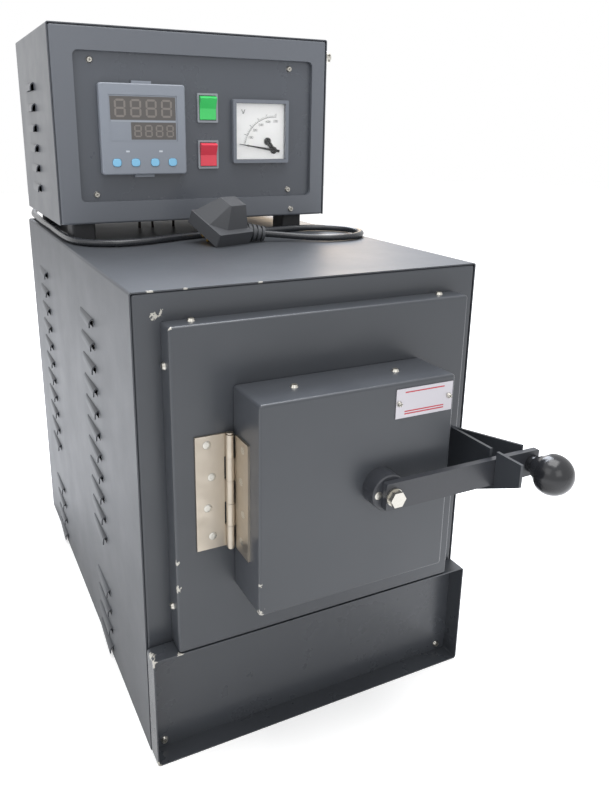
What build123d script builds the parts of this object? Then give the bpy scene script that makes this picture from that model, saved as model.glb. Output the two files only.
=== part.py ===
from build123d import *

"""Bench-top muffle furnace with a control box on its roof.

Millimetres, +Z up. The origin is the centre of the casing's footprint, on the floor.
The door faces -Y, and +X is to the right of someone who stands in front of the door.
"""
import math
import os

os.makedirs("parts", exist_ok=True)

# Sheet metal
sheet = 1.2             # casing, covers and control box
door_sheet = 1.5        # door shell and raised front pan
fold_r = 2.4            # outside radius of a fold
corner_r = 3.0          # corners of a folded tray, seen from the front
fit_gap = 0.3           # between neighbouring folded pieces
flange = 18.0           # width of a pan's turned edge

# Casing
case_w = 344.0
case_d = 530.0
case_h = 442.0
tray_h = 20.0
rear_screw_inset = 12.0

# Louvres pressed in the sides of the casing and of the control box
louvre_len = 56.0
louvre_h = 9.0
louvre_out = 4.6
louvre_end_out = 1.6
louvre_skin = 1.4
louvre_bulge = ((0.0, 1.0), (0.45, 0.8), (0.8, 0.4), (0.96, -0.2), (1.0, -1.0))   # out, up
louvre_pitch = 23.2     # on the control box
case_louvre_top = case_h - 58.0
case_louvre_bottom = 11.0
case_louvre_pitch = (case_louvre_top - case_louvre_bottom) / 15.76
case_louvre_upper = 11
case_louvre_lower = 4
case_louvre_y = (-124.0, 136.0)     # front ends of the two columns
box_louvre_up = 148.0   # top louvre above the box's floor
box_louvre_count = 6
box_louvre_y = 118.0

# Lower front cover, a tray whose edges are turned forward
cover_out = 22.0
cover_h = 115.0
cover_screw_inset = 13.0
cover_screw_z = 8.0

# Raised front pan that carries the door
pan_w = 295.0
pan_top = 416.5
pan_out = 21.6
pan_screw_x = 124.0
pan_screw_z = (156.0, 381.0)
pan_screw_depth = 7.0

# Chamber
chamber_w = 100.0
chamber_h = 100.0
chamber_d = 225.0
chamber_z = 267.0
muffle_wall = 14.0
mouth_d = 24.0
mouth_clear = 1.0       # how much wider the mouth block is than the muffle, each side
board_rear_y = 100.0    # back face of the insulation
board_cut = 0.6         # clearance round an insulation board

# Heating element, a flat ribbon let into the muffle
element_turns = 9
element_wide = 4.0
element_thick = 1.6
element_first = 24.0    # from the muffle's front to the first turn
element_pitch = 22.0

# Thermocouple
thermo_r = 3.0
thermo_clear = 0.3
thermo_in = 26.0        # how far the sheath reaches into the chamber
thermo_head_r = 14.0
thermo_head_l = 22.0

# Door
door_w = 188.0
door_z = (173.0, 362.0)
door_d = 52.6
door_gap = 1.5          # between the raised pan and the door
door_screw_x = 50.0
plug_in = 20.0          # how far the refractory plug enters the mouth
plug_root = 96.0
plug_nose = 86.0
door_screw_back = 24.0
door_back_flange = 32.0
plug_base = 116.0
plug_base_t = 12.0

# Hinge
hinge_h = 106.0
hinge_top = 321.0
hinge_r = 3.8
hinge_pin_r = 2.0
hinge_pin_head = 1.0    # how far its heads stand out round it
hinge_pin_cap = 1.2
hinge_run = 0.05        # radial running clearance on the pin
hinge_leaf_w = 30.0
hinge_leaf_t = 2.0
hinge_front = 5.0       # axis in front of the raised pan, and off the door's side
knuckles = 5
knuckle_gap = 0.25
hinge_screw_z = (313.0, 283.0, 254.5, 227.0)
hinge_screw_off = 17.6   # from the axis to the middle of the screws' zigzag
hinge_screw_step = 2.0
hinge_screw_l = 6.0

# Latch
latch_x = 19.0
latch_z = 271.0
boss_r = 16.6
boss_l = 17.0
boss_screw_off = 11.0
flush_back = 0.3        # how far a countersunk head sits below the boss's face
bolt_r = 4.0
bolt_run = 0.08
bolt_head_af = 13.0
bolt_head_t = 5.3
washer_r = 7.9
washer_t = 1.6
bar_t = 6.0
bar_h = 25.0
bar_tail = 7.5          # left of the bolt
bar_reach = 161.0       # right of the bolt
bar_gap = 0.3           # washer, bar and boss stand this far apart
knob_r = 19.0
knob_neck_r = 8.5
knob_neck_l = 5.0
knob_ball = 26.0        # from the bar to the ball's centre
knob_ring_r = 18.3      # where the cone of the shank meets the ball
knob_inset = 8.0        # from the bar's end to the knob's axis
keeper_x = 128.0
keeper_t = 3.0
keeper_top = 291.5
brace_drop = 4.5         # its top edge below the keeper's
keeper_reach = 109.0    # from the raised pan to the keeper's tip
keeper_tip_h = 21.5
keeper_root_h = 74.0
slot_clear = 1.2        # each side of the bar
slot_floor = 0.3        # under the bar
brace_t = 3.0
brace_x = (132.5, 165.0)
brace_tip_gap = 2.5     # behind the bar
brace_tip_h = 23.0
brace_root_h = 70.0

# Blank name plate on the door
plate_w = 59.0
plate_h = 26.5
plate_t = 0.8
plate_x = 61.5
plate_z = 343.2
plate_screw_off = 26.0
plate_head_r = 2.6

# Control box
box_x = (-173.5, 153.5)
box_y = (9.0, 239.0)
foot_h = 20.0
box_h = 206.0
foot_w = 26.0
foot_d = 30.0
foot_x = (-146.0, 114.0)
foot_inset_y = 10.0
window_x = (-148.7, 134.0)
window_up = (24.0, 180.5)   # bottom and top edge above the box's floor
window_r = 6.0
window_lip = 5.0
box_screw_x = (-9.0, 107.0)
box_screw_up = 8.0
side_stud_y = 8.0       # stud on the box's right side, behind its front edge
side_stud_up = 187.0
side_stud_r = 7.0
side_stud_l = 8.0
panel_t = 2.0
panel_margin = 6.0
box_tray_h = 12.0
foot_r = 3.0
panel_screw_x = (-130.5, 105.0)
panel_screw_up = (31.5, 171.5)

# Screws
pan_head_r = 3.6
pan_head_t = 2.2
screw_clear = 0.2
sunk_dome = 0.25        # how far a countersunk head is domed
screw_r = 1.9
screw_l = 8.0

# Temperature controller
ctl_w = 96.0
ctl_x = -76.4           # centre
ctl_up = 101.0          # centre above the box's floor
ctl_bezel_t = 9.0
ctl_case_w = 90.0
ctl_case_d = 72.0
ctl_cut = 0.5
ctl_corner = 3.0
ctl_chamfer = 1.2
clip_w = 22.0
clip_out = 3.0
clip_t = 4.0
display_w = 76.0
display_h = 48.0
display_up = 12.0       # above the controller's centre
display_t = 1.0
display_sink = 0.6      # its face behind the bezel's
display_clear = 0.15
key_w = 9.5
key_h = 8.4
key_t = 3.0
key_clear = 0.35
key_out = 0.8
key_travel = 0.6
key_corner = 3.4
key_round = 0.5
key_x = (-32.0, -11.0, 11.0, 31.5)
key_down = 35.0         # below the controller's centre

# Rocker switches
switch_w = 25.0
switch_h = 32.0
switch_t = 2.2
switch_corner = 1.2
switch_x = 0.8
main_up = 125.5
load_up = 74.0
rocker_w = 19.6
rocker_clear = 0.4
rocker_tilt = 11.0      # of each of its two faces
rocker_axis = 3.0       # pivot behind the bezel's face
rocker_r = 13.2         # its ends are arcs about the pivot
rocker_back = 3.0
rocker_proud = 0.6      # of the valley between its faces, before the bezel
rocker_pin_r = 1.2
rocker_run = 0.06
rocker_pin_in = 0.9     # how far the pin reaches into each side wall
rocker_well = 9.0       # depth of the well
switch_case_w = 23.0
switch_case_h = 29.0
switch_case_d = 26.0

# Voltmeter
meter_w = 72.0
meter_x = 66.8
meter_up = 100.0
meter_t = 6.0
meter_rim = 4.0
meter_corner = 2.0
meter_deep = 5.2        # from the rim to the floor of the case
meter_case_r = 32.0
meter_case_d = 30.0
dial_t = 0.8
lens_t = 1.0
lens_back = 0.6
needle_x = 18.0         # pivot from the meter's centre
needle_down = 21.5
needle_l = 46.0
needle_w = 1.6
needle_t = 0.5
needle_tail = 7.0
needle_behind = 0.5     # behind the window
needle_hub_r = 3.2
needle_hub_t = 1.2
needle_pin_in = 4.0
needle_pin_r = 1.0
needle_run = 0.08
needle_rest_deg = 9.0   # above the horizontal, pointing left

# Wiring
lead_r = 1.6
lead_x = (-57.0, -40.0, -12.0)
lead_y = 112.0
lead_in = 10.0          # how far a lead enters the block at each end
terminal_w = 66.0
terminal_d = 18.0
terminal_h = 22.0
terminal_z = 300.0
contactor = (62.0, 46.0, 80.0)
contactor_step = 16.0

# Mains cord
cord_r = 3.75
cord_rest = 0.3         # above the casing's roof
cord_clear = 0.1        # round the cord in the gland
relief_clear = 0.25     # round the cord in the plug's relief
gland_x = -84.0
gland_up = 24.0
gland_nut_r = 12.0
gland_nut_t = 7.0
gland_cap_r = 9.5
gland_l = 30.0
gland_barrel_r = 8.0
gland_inner_nut_t = 5.0

# Mains plug, tilted so that it rests on its front edge and the tips of its pins
mains_w = 50.0
mains_d = 54.0
mains_slab_t = 15.0
mains_grip_h = 24.0
mains_tilt = 25.8
mains_yaw = 20.0
mains_at = (-26.0, -79.0)
mains_round = 2.0
grip_foot = ((2.0, 22.0), (17.0, 8.0), (47.0, 8.0), (48.0, 51.0), (2.0, 51.0))   # on the slab
grip_top = ((20.5, 19.0), (21.5, 17.5), (42.5, 17.5), (42.5, 37.0), (20.5, 37.0))
mains_relief_l = 25.0   # beyond the cord's end in the plug
relief_sunk = 2.0       # back into the plug
relief_r0 = 10.4
relief_r1 = 8.2
relief_ribs = 4
relief_first = 3.4
relief_pitch = 5.4
relief_slot = 2.2
relief_groove = 2.6
pin_live_r = 2.55
pin_live_l = 13.8
pin_live_y = 30.0
pin_live_half = 9.5
pin_earth_r = 3.5
pin_earth_l = 19.5
pin_earth_y = 48.0

# Places that follow from the sizes above
front_y = -case_d / 2
rear_y = case_d / 2
inner_w = case_w / 2 - sheet - fit_gap      # half the room between the side sheets
roof_in = case_h - sheet - fit_gap
pan_y = front_y - pan_out
door_back = pan_y - door_gap
door_front = door_back - door_d
muffle_w = chamber_w + 2 * muffle_wall
muffle_h = chamber_h + 2 * muffle_wall
mouth_y = pan_y + door_sheet + fit_gap
muffle_y = mouth_y + mouth_d + fit_gap
muffle_end = muffle_y + chamber_d + muffle_wall
hinge_y = pan_y - hinge_front
door_left = -door_w / 2
hinge_x = door_left - hinge_front
hinge_low = hinge_top - hinge_h
boss_front = door_front - boss_l
bar_back = boss_front - bar_gap
bar_front = bar_back - bar_t
washer_front = bar_front - bar_gap - washer_t
bar_low = latch_z - bar_h / 2
box_z = case_h + foot_h
box_top = box_z + box_h
panel_y = box_y[0] + window_lip
ctl_z = box_z + ctl_up
ctl_front = panel_y - ctl_bezel_t
meter_z = box_z + meter_up
meter_front = panel_y - meter_t
cord_z = case_h + cord_rest + cord_r


def block(x0, x1, y0, y1, z0, z1):
    """A box between two corners."""
    return Pos((x0 + x1) / 2, (y0 + y1) / 2, (z0 + z1) / 2) * Box(x1 - x0, y1 - y0, z1 - z0)


def rod(r, length, at, axis):
    """A cylinder that starts at a point and runs along an axis."""
    place = Plane(origin=at, z_dir=axis)
    return place * Cylinder(r, length, align=(Align.CENTER, Align.CENTER, Align.MIN))


def save(name, *solids):
    """Writes one node, of one solid or of a group of separate solids."""
    shape = solids[0] if len(solids) == 1 else Compound(children=list(solids))
    export_step(shape, f"parts/{name}.step")


def pan(x0, x1, z0, z1, face_y, depth, t, forward=False):
    """A folded tray: a face across Y with four edges turned back, or turned forward."""
    way = -1 if forward else 1
    y0, y1 = sorted((face_y, face_y + way * depth))
    outer = plate_with(x0, x1, y0, y1, z0, z1, corner_r)
    bends = outer.faces().sort_by(Axis.Y)[-1 if forward else 0].edges()
    outer = fillet(bends, fold_r)
    i0, i1 = (y0 - 1, y1 - t) if forward else (y0 + t, y1 + 1)
    return outer - plate_with(x0 + t, x1 - t, i0, i1, z0 + t, z1 - t, corner_r - t)


def wrap(x0, x1, y0, y1, z0, z1, t):
    """A sheet folded over a body: two sides and the roof, open below and at both ends."""
    outer = block(x0, x1, y0, y1, z0, z1)
    top = outer.faces().sort_by(Axis.Z)[-1].edges().filter_by(Axis.Y)
    inner = block(x0 + t, x1 - t, y0 - 1, y1 + 1, z0 - 1, z1 - t)
    bend = inner.faces().sort_by(Axis.Z)[-1].edges().filter_by(Axis.Y)
    return fillet(top, fold_r) - fillet(bend, fold_r - t)


def louvre(x_face, side, y0, z_mid):
    """A hood pressed out of a side sheet, open below and at its front end, and its window."""
    half = louvre_h / 2

    def section(y, out):
        """The hood's skin across its length: it bulges out from its top edge to its lip."""
        hollow = out - louvre_skin
        outline = [(out * u, half * v) for u, v in louvre_bulge]
        outline += [(hollow * u, (half - louvre_skin) * v if v > 0 else half * v) for u, v in louvre_bulge[:0:-1]]
        outline += [(-sheet, half - louvre_skin), (-sheet, half)]
        return Polyline([(x_face + side * u, y, z_mid + v) for u, v in outline], close=True)

    ends = [make_face(section(y0, louvre_out)), make_face(section(y0 + louvre_len, louvre_end_out))]
    x0, x1 = sorted((x_face + side * louvre_out, x_face - 2 * side * sheet))
    window = block(x0, x1, y0, y0 + louvre_len - 3 * louvre_skin, z_mid - half, z_mid + half)
    return loft(ends), window


def louvred(shell, places):
    """A wrap with its louvres: all windows are cut first, then the hoods close over them."""
    hoods, windows = zip(*[louvre(*place) for place in places])
    return shell - list(windows) + list(hoods)


def turned(profile, at, axis):
    """A piece turned on a lathe: (radius, height) points, put at a point along an axis."""
    face = make_face(Polyline([(r, 0, h) for r, h in profile], close=True))
    return Plane(origin=at, z_dir=axis) * revolve(face, Axis.Z)


def screw(at, axis, length=screw_l, head_r=pan_head_r):
    """A pan-head screw: its head stands on the surface at a point and faces along an axis."""
    grip = screw_r * head_r / pan_head_r
    return turned([(0, -length), (grip, -length), (grip, 0), (head_r, 0),
                   (0.7 * head_r, pan_head_t), (0, pan_head_t)], at, axis)


def screw_hole(at, axis, length=screw_l, head_r=pan_head_r):
    """The clearance hole for a screw's shank."""
    grip = screw_r * head_r / pan_head_r + screw_clear
    start = tuple(c - a * length for c, a in zip(at, axis))
    return rod(grip, length + 1, start, axis)


def sunk_screw(at, axis, length=screw_l):
    """A countersunk screw: its low dome stands a little proud of the point where it is put."""
    deep = pan_head_r - screw_r
    return turned([(0, -length), (screw_r, -length), (screw_r, -deep), (pan_head_r, 0),
                   (0.6 * pan_head_r, sunk_dome), (0, sunk_dome)], at, axis)


def sunk_hole(at, axis, length=screw_l):
    """The countersunk clearance hole for such a screw."""
    wide, head = screw_r + screw_clear, pan_head_r + screw_clear
    deep = pan_head_r - screw_r
    return turned([(0, -length - 1), (wide, -length - 1), (wide, -deep), (head, 0), (head, 1), (0, 1)], at, axis)


def plate_with(x0, x1, y0, y1, z0, z1, corner):
    """A plate across Y with rounded corners."""
    return fillet(block(x0, x1, y0, y1, z0, z1).edges().filter_by(Axis.Y), corner)


# Casing, insulation and muffle

def casing():
    """The louvred wrap, the two end pans, the base tray and their screws."""
    half = case_w / 2
    louvres = []
    for side in (-1, 1):
        for y in case_louvre_y:
            upper = [case_louvre_top - i * case_louvre_pitch for i in range(case_louvre_upper)]
            lower = [case_louvre_bottom + i * case_louvre_pitch for i in range(case_louvre_lower)]
            louvres += [(side * half, side, y, z) for z in upper + lower]
    lead_holes = [rod(lead_r + fit_gap, 3 * sheet, (x, lead_y, case_h - 2 * sheet), (0, 0, 1))
                  for x in lead_x]
    shell = louvred(wrap(-half, half, front_y, rear_y, 0, case_h, sheet), louvres)
    save("casing_wrap", shell - lead_holes)

    mouth = muffle_w / 2 + mouth_clear + board_cut
    front = pan(-inner_w, inner_w, 0, roof_in, front_y, flange, sheet)
    front -= block(-mouth, mouth, front_y - 1, front_y + 2 * sheet, chamber_z - mouth, chamber_z + mouth)
    cover_screws = [((side * (case_w / 2 - cover_screw_inset), front_y - fit_gap - sheet, cover_screw_z),
                     (0, -1, 0)) for side in (-1, 1)]
    save("front_panel", front - [screw_hole(*place) for place in cover_screws])

    corners = [(side * (inner_w - rear_screw_inset), z) for side in (-1, 1)
               for z in (rear_screw_inset, roof_in - rear_screw_inset)]
    rear_screws = [((x, rear_y, z), (0, 1, 0)) for x, z in corners]
    rear = pan(-inner_w, inner_w, 0, roof_in, rear_y, flange, sheet, forward=True)
    save("rear_panel", rear - [screw_hole(*place) for place in rear_screws])

    tray_y = case_d / 2 - flange - fit_gap
    tray = block(-inner_w, inner_w, -tray_y, tray_y, 0, tray_h)
    tray -= block(-inner_w + sheet, inner_w - sheet, -tray_y + sheet, tray_y - sheet, sheet, tray_h + 1)
    save("base_tray", tray)

    reach = case_w / 2 - fit_gap
    lower = pan(-reach, reach, 0, cover_h, front_y - fit_gap, cover_out - fit_gap, sheet, forward=True)
    save("lower_front_cover", lower - [screw_hole(*place) for place in cover_screws])
    return cover_screws + rear_screws


def raised_pan():
    """The raised front pan, with the mouth cut in it and holes for everything screwed to it."""
    half = pan_w / 2
    body = pan(-half, half, cover_h + fit_gap, pan_top, pan_y, pan_out - fit_gap, door_sheet)
    mouth = chamber_w / 2 + 3 * mouth_clear
    body -= block(-mouth, mouth, pan_y - 1, pan_y + 2 * door_sheet, chamber_z - mouth, chamber_z + mouth)
    seat = front_y - pan_screw_depth
    screws = [((x, seat, pan_top), (0, 0, 1)) for x in (-pan_screw_x, pan_screw_x)]
    screws += [((side * half, seat, z), (side, 0, 0)) for side in (-1, 1) for z in pan_screw_z]
    leaf = [(at, axis) for at, axis in hinge_screw_places()[0]]
    cut = [screw_hole(*place) for place in screws + leaf]
    save("raised_front_pan", body - cut)
    return screws


def hot_parts():
    """The refractory mouth, the muffle with its ribbon element, the boards round it, the probe."""
    half_w, half_h = muffle_w / 2, muffle_h / 2
    c_w, c_h = chamber_w / 2, chamber_h / 2
    z0, z1 = chamber_z - half_h, chamber_z + half_h

    m_w, m_h = half_w + mouth_clear, half_h + mouth_clear
    mouth = block(-m_w, m_w, mouth_y, mouth_y + mouth_d, chamber_z - m_h, chamber_z + m_h)
    save("mouth_block", mouth - block(-c_w, c_w, mouth_y - 1, mouth_y + mouth_d + 1,
                                      chamber_z - c_h, chamber_z + c_h))

    muffle = block(-half_w, half_w, muffle_y, muffle_end, z0, z1)
    muffle -= block(-c_w, c_w, muffle_y - 1, muffle_y + chamber_d, chamber_z - c_h, chamber_z + c_h)
    probe_from = muffle_end - muffle_wall - thermo_in
    bore = rod(thermo_r + thermo_clear, board_rear_y - probe_from + 1, (0, probe_from, chamber_z), (0, 1, 0))
    turns, grooves = [], []
    for i in range(element_turns):
        y = muffle_y + element_first + i * element_pitch
        groove = block(-half_w - 1, half_w + 1, y - fit_gap, y + element_wide + fit_gap, z0 - 1, z1 + 1)
        deep = element_thick + fit_gap
        groove -= block(-half_w + deep, half_w - deep, y - 1, y + element_wide + 1, z0 + deep, z1 - deep)
        turn = block(-half_w, half_w, y, y + element_wide, z0, z1)
        thick = element_thick
        turn -= block(-half_w + thick, half_w - thick, y - 1, y + element_wide + 1, z0 + thick, z1 - thick)
        turns.append(turn)
        grooves.append(groove)
    save("muffle", muffle - grooves - bore)
    save("heating_element", *turns)

    side_in, side_out = half_w + board_cut, inner_w - sheet - board_cut
    low, high = tray_h + board_cut, roof_in - sheet - board_cut
    sides = [block(*sorted((side * side_in, side * side_out)), muffle_y, board_rear_y, low, high)
             for side in (-1, 1)]
    save("insulation_sides", *sides)
    save("insulation_top", block(-half_w, half_w, muffle_y, board_rear_y, z1 + board_cut, high))
    save("insulation_bottom", block(-half_w, half_w, muffle_y, board_rear_y, low, z0 - board_cut))
    rear = block(-half_w, half_w, muffle_end + board_cut, board_rear_y, z0, z1)
    save("insulation_rear", rear - bore)

    head_y = board_rear_y + fit_gap
    probe = turned([(0, 0), (thermo_r, 0), (thermo_r, head_y - probe_from), (thermo_head_r, head_y - probe_from),
                    (thermo_head_r, head_y - probe_from + thermo_head_l), (0, head_y - probe_from + thermo_head_l)],
                   (0, probe_from, chamber_z), (0, 1, 0))
    save("thermocouple", probe)


# Door and its hinge

def hinge_screw_places():
    """Where the hinge is screwed to the raised pan and to the door's side."""
    on_pan, on_door = [], []
    for i, z in enumerate(hinge_screw_z):
        step = hinge_screw_step * (-1 if i % 2 == 0 else 1)
        off = hinge_screw_off - step
        on_pan.append(((hinge_x - off, pan_y - hinge_leaf_t, z), (0, -1, 0)))
        on_door.append(((door_left - hinge_leaf_t, hinge_y - off, z), (-1, 0, 0)))
    return on_pan, on_door


def hinge():
    """A butt hinge with five knuckles: three on the pan's leaf, two on the door's, and its pin."""
    step = hinge_h / knuckles
    leaves = []
    for own, on_body in ((0, True), (1, False)):
        if on_body:
            leaf = block(hinge_x - hinge_leaf_w, hinge_x, pan_y - hinge_leaf_t, pan_y, hinge_low, hinge_top)
        else:
            leaf = block(door_left - hinge_leaf_t, door_left, hinge_y - hinge_leaf_w, hinge_y,
                         hinge_low, hinge_top)
        room = hinge_r + 2 * knuckle_gap
        for i in range(knuckles):
            low = hinge_low + i * step
            if i % 2 == own:
                leaf += rod(hinge_r, step - knuckle_gap, (hinge_x, hinge_y, low), (0, 0, 1))
                continue
            low -= knuckle_gap
            leaf -= block(hinge_x - room, door_left + 1, hinge_y - room, pan_y + 1, low, low + step + knuckle_gap)
        bore = rod(hinge_pin_r + hinge_run, hinge_h + 2, (hinge_x, hinge_y, hinge_low - 1), (0, 0, 1))
        places = hinge_screw_places()[own]
        leaves.append(leaf - bore - [sunk_hole(*place) for place in places])
    save("hinge_leaf_body", leaves[0])
    save("hinge_leaf_door", leaves[1])
    head, cap = hinge_pin_r + hinge_pin_head, hinge_pin_cap
    pin = turned([(0, -cap - fit_gap), (head, -cap - fit_gap), (head, -fit_gap), (hinge_pin_r, -fit_gap),
                  (hinge_pin_r, hinge_h + fit_gap), (head, hinge_h + fit_gap),
                  (head, hinge_h + fit_gap + cap), (0, hinge_h + fit_gap + cap)],
                 (hinge_x, hinge_y, hinge_low), (0, 0, 1))
    save("hinge_pin", pin)
    on_pan, on_door = hinge_screw_places()
    save("hinge_screws_body", *[sunk_screw(*place, length=hinge_screw_l) for place in on_pan])
    save("hinge_screws_door", *[sunk_screw(*place, length=hinge_screw_l) for place in on_door])


def door():
    """The folded shell, its back pan, the fibre and the tapered refractory plug."""
    half = door_w / 2
    z0, z1 = door_z
    shell = pan(-half, half, z0, z1, door_front, door_d, door_sheet)
    top_screws = [((x, door_back - door_screw_back, z), (0, 0, side)) for x in (-door_screw_x, door_screw_x)
                  for z, side in ((z1, 1), (z0, -1))]
    badge = [((plate_x + side * plate_screw_off, door_front - plate_t, plate_z), (0, -1, 0)) for side in (-1, 1)]
    badge_cuts = [screw_hole(at, axis, head_r=plate_head_r) for at, axis in badge]
    cuts = [screw_hole(*place) for place in top_screws + hinge_screw_places()[1]]
    save("door_shell", shell - cuts - badge_cuts)

    inset = door_sheet + fit_gap
    back = pan(-half + inset, half - inset, z0 + inset, z1 - inset, door_back, door_back_flange, sheet,
               forward=True)
    hole = plug_root / 2 + board_cut
    back -= block(-hole, hole, door_back - 2 * sheet, door_back + 1, chamber_z - hole, chamber_z + hole)
    save("door_back_plate", back - cuts)

    base_back = door_back - sheet - fit_gap
    base = block(-plug_base / 2, plug_base / 2, base_back - plug_base_t, base_back,
                 chamber_z - plug_base / 2, chamber_z + plug_base / 2)
    root = Plane((0, base_back, chamber_z), x_dir=(1, 0, 0), z_dir=(0, 1, 0)) * Rectangle(plug_root, plug_root)
    nose = Plane((0, door_back + plug_in, chamber_z), x_dir=(1, 0, 0),
                 z_dir=(0, 1, 0)) * Rectangle(plug_nose, plug_nose)
    save("door_plug", base + loft([root, nose]))

    fibre_in = inset + sheet + screw_l
    fibre = block(-half + fibre_in, half - fibre_in, door_front + inset, base_back, z0 + fibre_in, z1 - fibre_in)
    room = plug_base / 2 + board_cut
    fibre -= block(-room, room, base_back - plug_base_t - board_cut, base_back + 1,
                   chamber_z - room, chamber_z + room)
    save("door_insulation", fibre - badge_cuts)

    plate = block(plate_x - plate_w / 2, plate_x + plate_w / 2, door_front - plate_t, door_front,
                  plate_z - plate_h / 2, plate_z + plate_h / 2)
    save("name_plate", plate - badge_cuts)
    screws = [screw(*place) for place in top_screws]
    save("door_screws", *screws, *[screw(at, axis, head_r=plate_head_r) for at, axis in badge])


# Latch

def latch():
    """The boss on the door, the bolt and washer, the bar, its ball knob and the keeper."""
    seat = (latch_x, door_front, latch_z)
    boss = turned([(bolt_r + bolt_run, 0), (boss_r, 0), (boss_r, boss_l - 1), (boss_r - 1, boss_l),
                   (bolt_r + bolt_run, boss_l)], seat, (0, -1, 0))
    sinks = [((latch_x + side * boss_screw_off, boss_front + flush_back, latch_z), (0, -1, 0))
             for side in (-1, 1)]
    save("latch_boss", boss - [sunk_hole(*place, length=boss_l) for place in sinks])
    save("boss_screws", *[sunk_screw(*place, length=boss_l - flush_back) for place in sinks])

    head = Plane((latch_x, washer_front, latch_z), x_dir=(1, 0, 0), z_dir=(0, -1, 0))
    hexagon = extrude(head * RegularPolygon(bolt_head_af / 2, 6, major_radius=False), bolt_head_t)
    shank = rod(bolt_r, door_front - washer_front, (latch_x, washer_front, latch_z), (0, 1, 0))
    washer = turned([(bolt_r + bolt_run, 0), (washer_r, 0), (washer_r, washer_t), (bolt_r + bolt_run, washer_t)],
                    (latch_x, washer_front + washer_t, latch_z), (0, -1, 0))
    save("latch_bolt", hexagon + shank, washer)

    bar = block(latch_x - bar_tail, latch_x + bar_reach, bar_front, bar_back, bar_low, bar_low + bar_h)
    bar = fillet(bar.edges().filter_by(Axis.Y), 1.5)
    save("latch_bar", bar - rod(bolt_r + bolt_run, bar_t + 2, (latch_x, bar_front - 1, latch_z), (0, 1, 0)))

    rise = knob_ball - math.sqrt(knob_r ** 2 - knob_ring_r ** 2)
    with BuildPart() as knob:
        with BuildSketch(Plane.XZ):
            with BuildLine():
                Polyline((0, knob_ball + knob_r), (0, 0), (knob_neck_r, 0), (knob_neck_r, knob_neck_l),
                         (knob_ring_r, rise))
                ThreePointArc((knob_ring_r, rise), (knob_r * math.sin(1.9), knob_ball - knob_r * math.cos(1.9)),
                              (0, knob_ball + knob_r))
            make_face()
        revolve(axis=Axis.Z)
    save("latch_knob", Plane((latch_x + bar_reach - knob_inset, bar_front, latch_z), z_dir=(0, -1, 0)) * knob.part)

    tip = pan_y - keeper_reach
    side = [(pan_y, keeper_top), (tip, keeper_top), (tip, keeper_top - keeper_tip_h),
            (pan_y, keeper_top - keeper_root_h)]
    keeper = yz_plate(side, keeper_x - keeper_t / 2, keeper_x + keeper_t / 2)
    slot = block(keeper_x - keeper_t, keeper_x + keeper_t, bar_front - slot_clear, bar_back + slot_clear,
                 bar_low - slot_floor, keeper_top + 1)
    brace_tip = bar_back + brace_tip_gap
    brace_top = keeper_top - brace_drop
    side = [(pan_y, brace_top), (brace_tip, brace_top), (brace_tip, keeper_top - brace_tip_h),
            (pan_y, keeper_top - brace_root_h)]
    x0, x1 = brace_x
    plan = [(x0, pan_y), (x0 + brace_t, pan_y), (x1 + brace_t, brace_tip), (x1, brace_tip)]
    upright = extrude(make_face(Polyline([(x, y, 0) for x, y in plan], close=True)), keeper_top, dir=(0, 0, 1))
    brace = yz_plate(side, x0 - 1, x1 + brace_t + 1) & upright
    save("latch_keeper", keeper - slot, brace)


def yz_plate(outline, x0, x1):
    """A flat plate that stands across X, cut to an outline in Y and Z."""
    face = make_face(Polyline([(x0, y, z) for y, z in outline], close=True))
    return extrude(face, x1 - x0, dir=(1, 0, 0))


# Control box

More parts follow.
